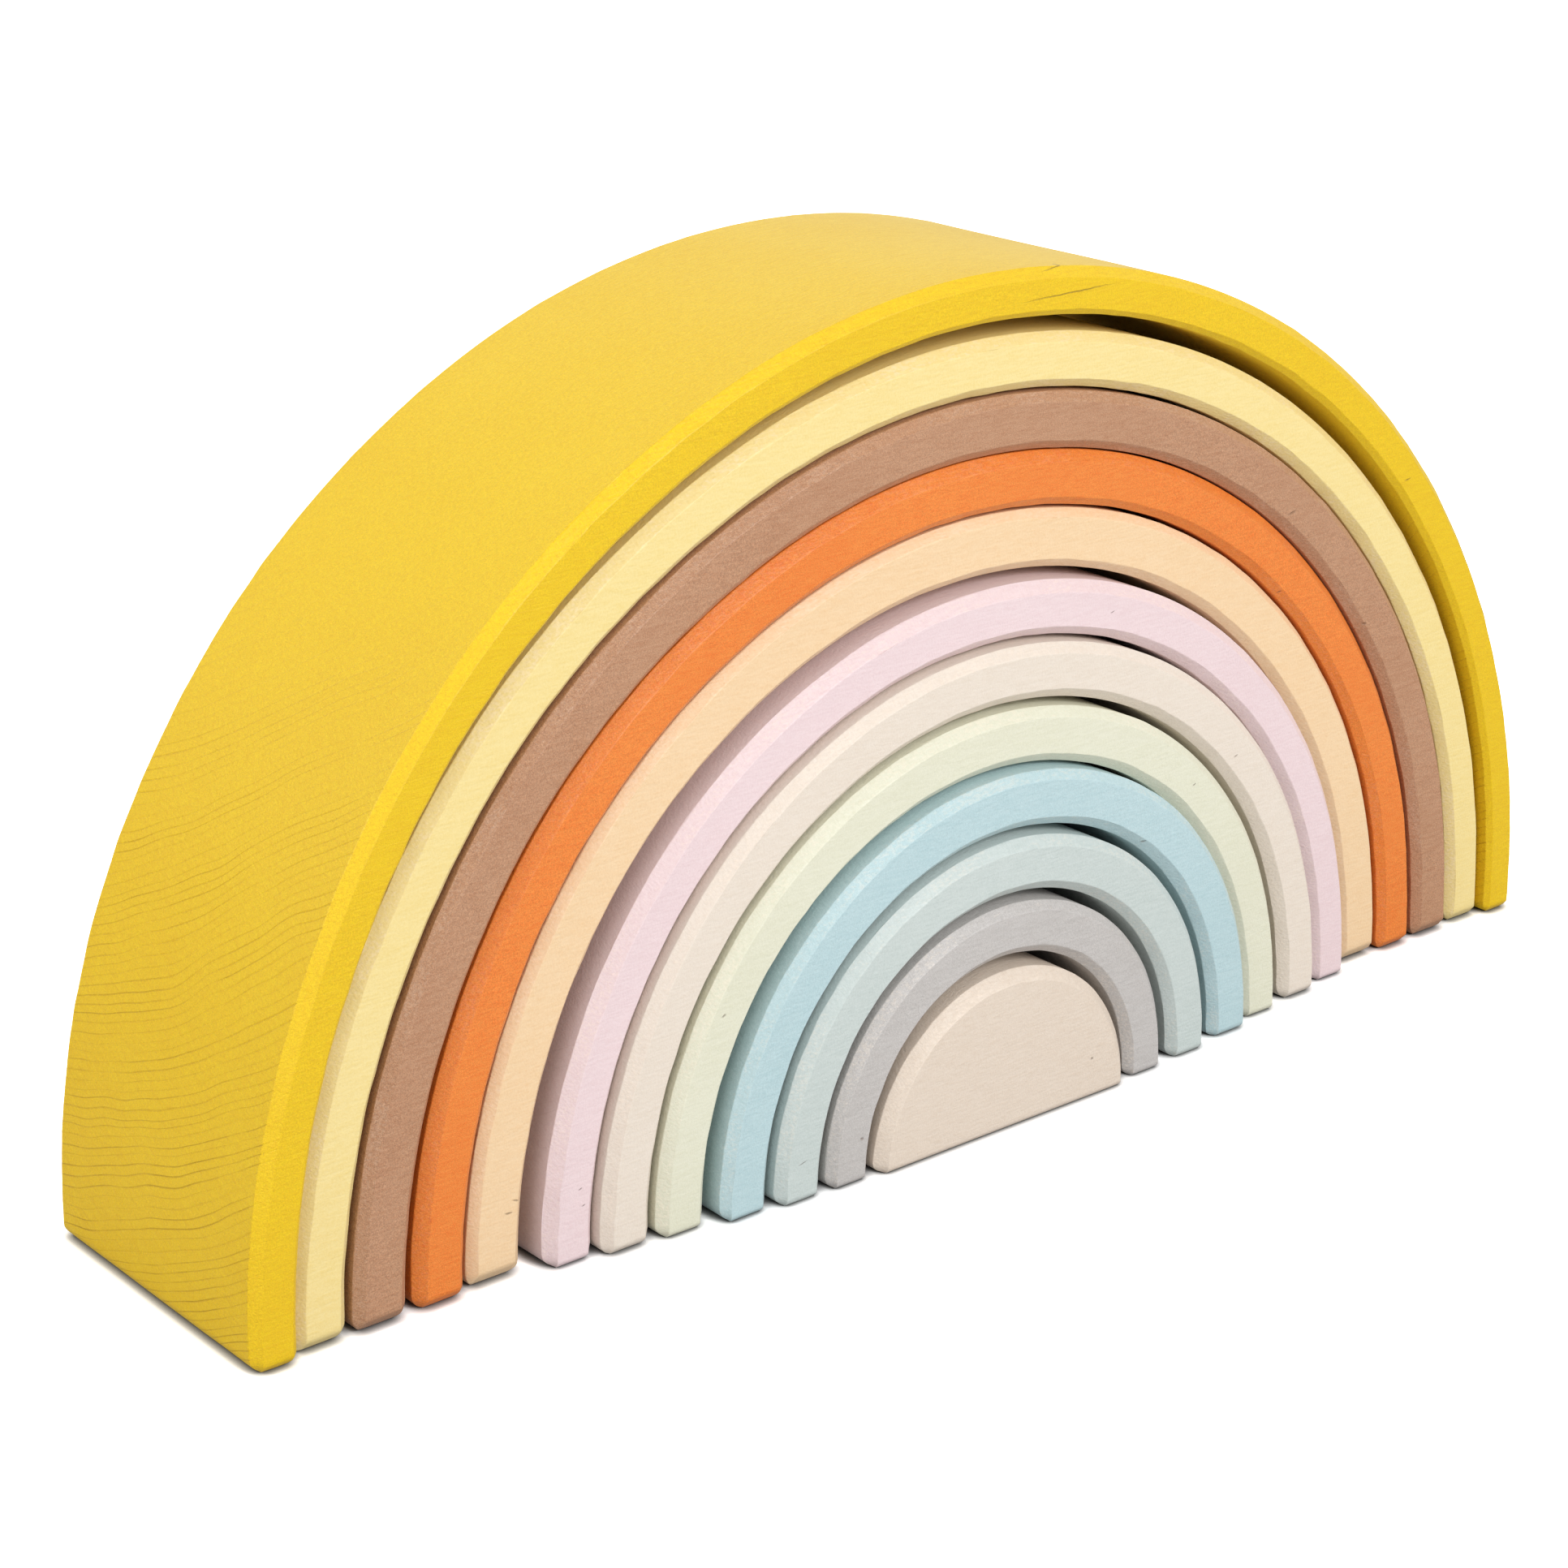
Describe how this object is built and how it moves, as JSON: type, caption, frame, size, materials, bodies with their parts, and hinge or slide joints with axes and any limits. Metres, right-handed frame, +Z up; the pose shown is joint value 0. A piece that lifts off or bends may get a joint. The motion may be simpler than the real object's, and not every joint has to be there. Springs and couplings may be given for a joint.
{
  "type": "rainbow stacker",
  "caption": "Wooden stacking toy: painted half-round arches nested inside one another around a solid half-round core, each standing loose on its own feet.",
  "frame": {"origin": "on the floor under the middle of the nest", "axes": "+X across the arches, to the right in a front view; +Y from the front to the back; +Z up"},
  "size_m": [0.36, 0.0874, 0.1816],
  "materials": {
    "yellow_paint": "matte yellow paint on sanded solid wood, grain showing through",
    "pale_yellow_paint": "matte pale yellow paint on sanded solid wood, grain showing through",
    "brown_paint": "matte milk-coffee brown paint on sanded solid wood, grain showing through",
    "orange_paint": "matte orange paint on sanded solid wood, grain showing through",
    "peach_paint": "matte peach paint on sanded solid wood, grain showing through",
    "pink_paint": "matte pale pink paint on sanded solid wood, grain showing through",
    "beige_paint": "matte beige paint on sanded solid wood, grain showing through",
    "green_paint": "matte pale green paint on sanded solid wood, grain showing through",
    "blue_paint": "matte light blue paint on sanded solid wood, grain showing through",
    "aqua_paint": "matte pale aqua paint on sanded solid wood, grain showing through",
    "grey_paint": "matte grey paint on sanded solid wood, grain showing through",
    "cream_paint": "matte cream paint on sanded solid wood, grain showing through"
  },
  "bodies": {
    "cream_core": {"cream_core": "cream_paint"},
    "grey_arch": {"grey_arch": "grey_paint"},
    "aqua_arch": {"aqua_arch": "aqua_paint"},
    "blue_arch": {"blue_arch": "blue_paint"},
    "green_arch": {"green_arch": "green_paint"},
    "beige_arch": {"beige_arch": "beige_paint"},
    "pink_arch": {"pink_arch": "pink_paint"},
    "peach_arch": {"peach_arch": "peach_paint"},
    "orange_arch": {"orange_arch": "orange_paint"},
    "brown_arch": {"brown_arch": "brown_paint"},
    "pale_yellow_arch": {"pale_yellow_arch": "pale_yellow_paint"},
    "yellow_arch": {"yellow_arch": "yellow_paint"}
  },
  "joints": [
    {"name": "yellow_arch_lift", "type": "slide", "parent": "pale_yellow_arch", "child": "yellow_arch", "axis": [0, 0, 1], "range_m": [0, 0.172]},
    {"name": "pale_yellow_arch_lift", "type": "slide", "parent": "brown_arch", "child": "pale_yellow_arch", "axis": [0, 0, 1], "range_m": [0, 0.16]},
    {"name": "brown_arch_lift", "type": "slide", "parent": "orange_arch", "child": "brown_arch", "axis": [0, 0, 1], "range_m": [0, 0.148]},
    {"name": "orange_arch_lift", "type": "slide", "parent": "peach_arch", "child": "orange_arch", "axis": [0, 0, 1], "range_m": [0, 0.135]},
    {"name": "peach_arch_lift", "type": "slide", "parent": "pink_arch", "child": "peach_arch", "axis": [0, 0, 1], "range_m": [0, 0.12]},
    {"name": "pink_arch_lift", "type": "slide", "parent": "beige_arch", "child": "pink_arch", "axis": [0, 0, 1], "range_m": [0, 0.108]},
    {"name": "beige_arch_lift", "type": "slide", "parent": "green_arch", "child": "beige_arch", "axis": [0, 0, 1], "range_m": [0, 0.095]},
    {"name": "green_arch_lift", "type": "slide", "parent": "blue_arch", "child": "green_arch", "axis": [0, 0, 1], "range_m": [0, 0.082]},
    {"name": "blue_arch_lift", "type": "slide", "parent": "aqua_arch", "child": "blue_arch", "axis": [0, 0, 1], "range_m": [0, 0.068]},
    {"name": "aqua_arch_lift", "type": "slide", "parent": "grey_arch", "child": "aqua_arch", "axis": [0, 0, 1], "range_m": [0, 0.054]},
    {"name": "grey_arch_lift", "type": "slide", "parent": "cream_core", "child": "grey_arch", "axis": [0, 0, 1], "range_m": [0, 0.04]}
  ]
}
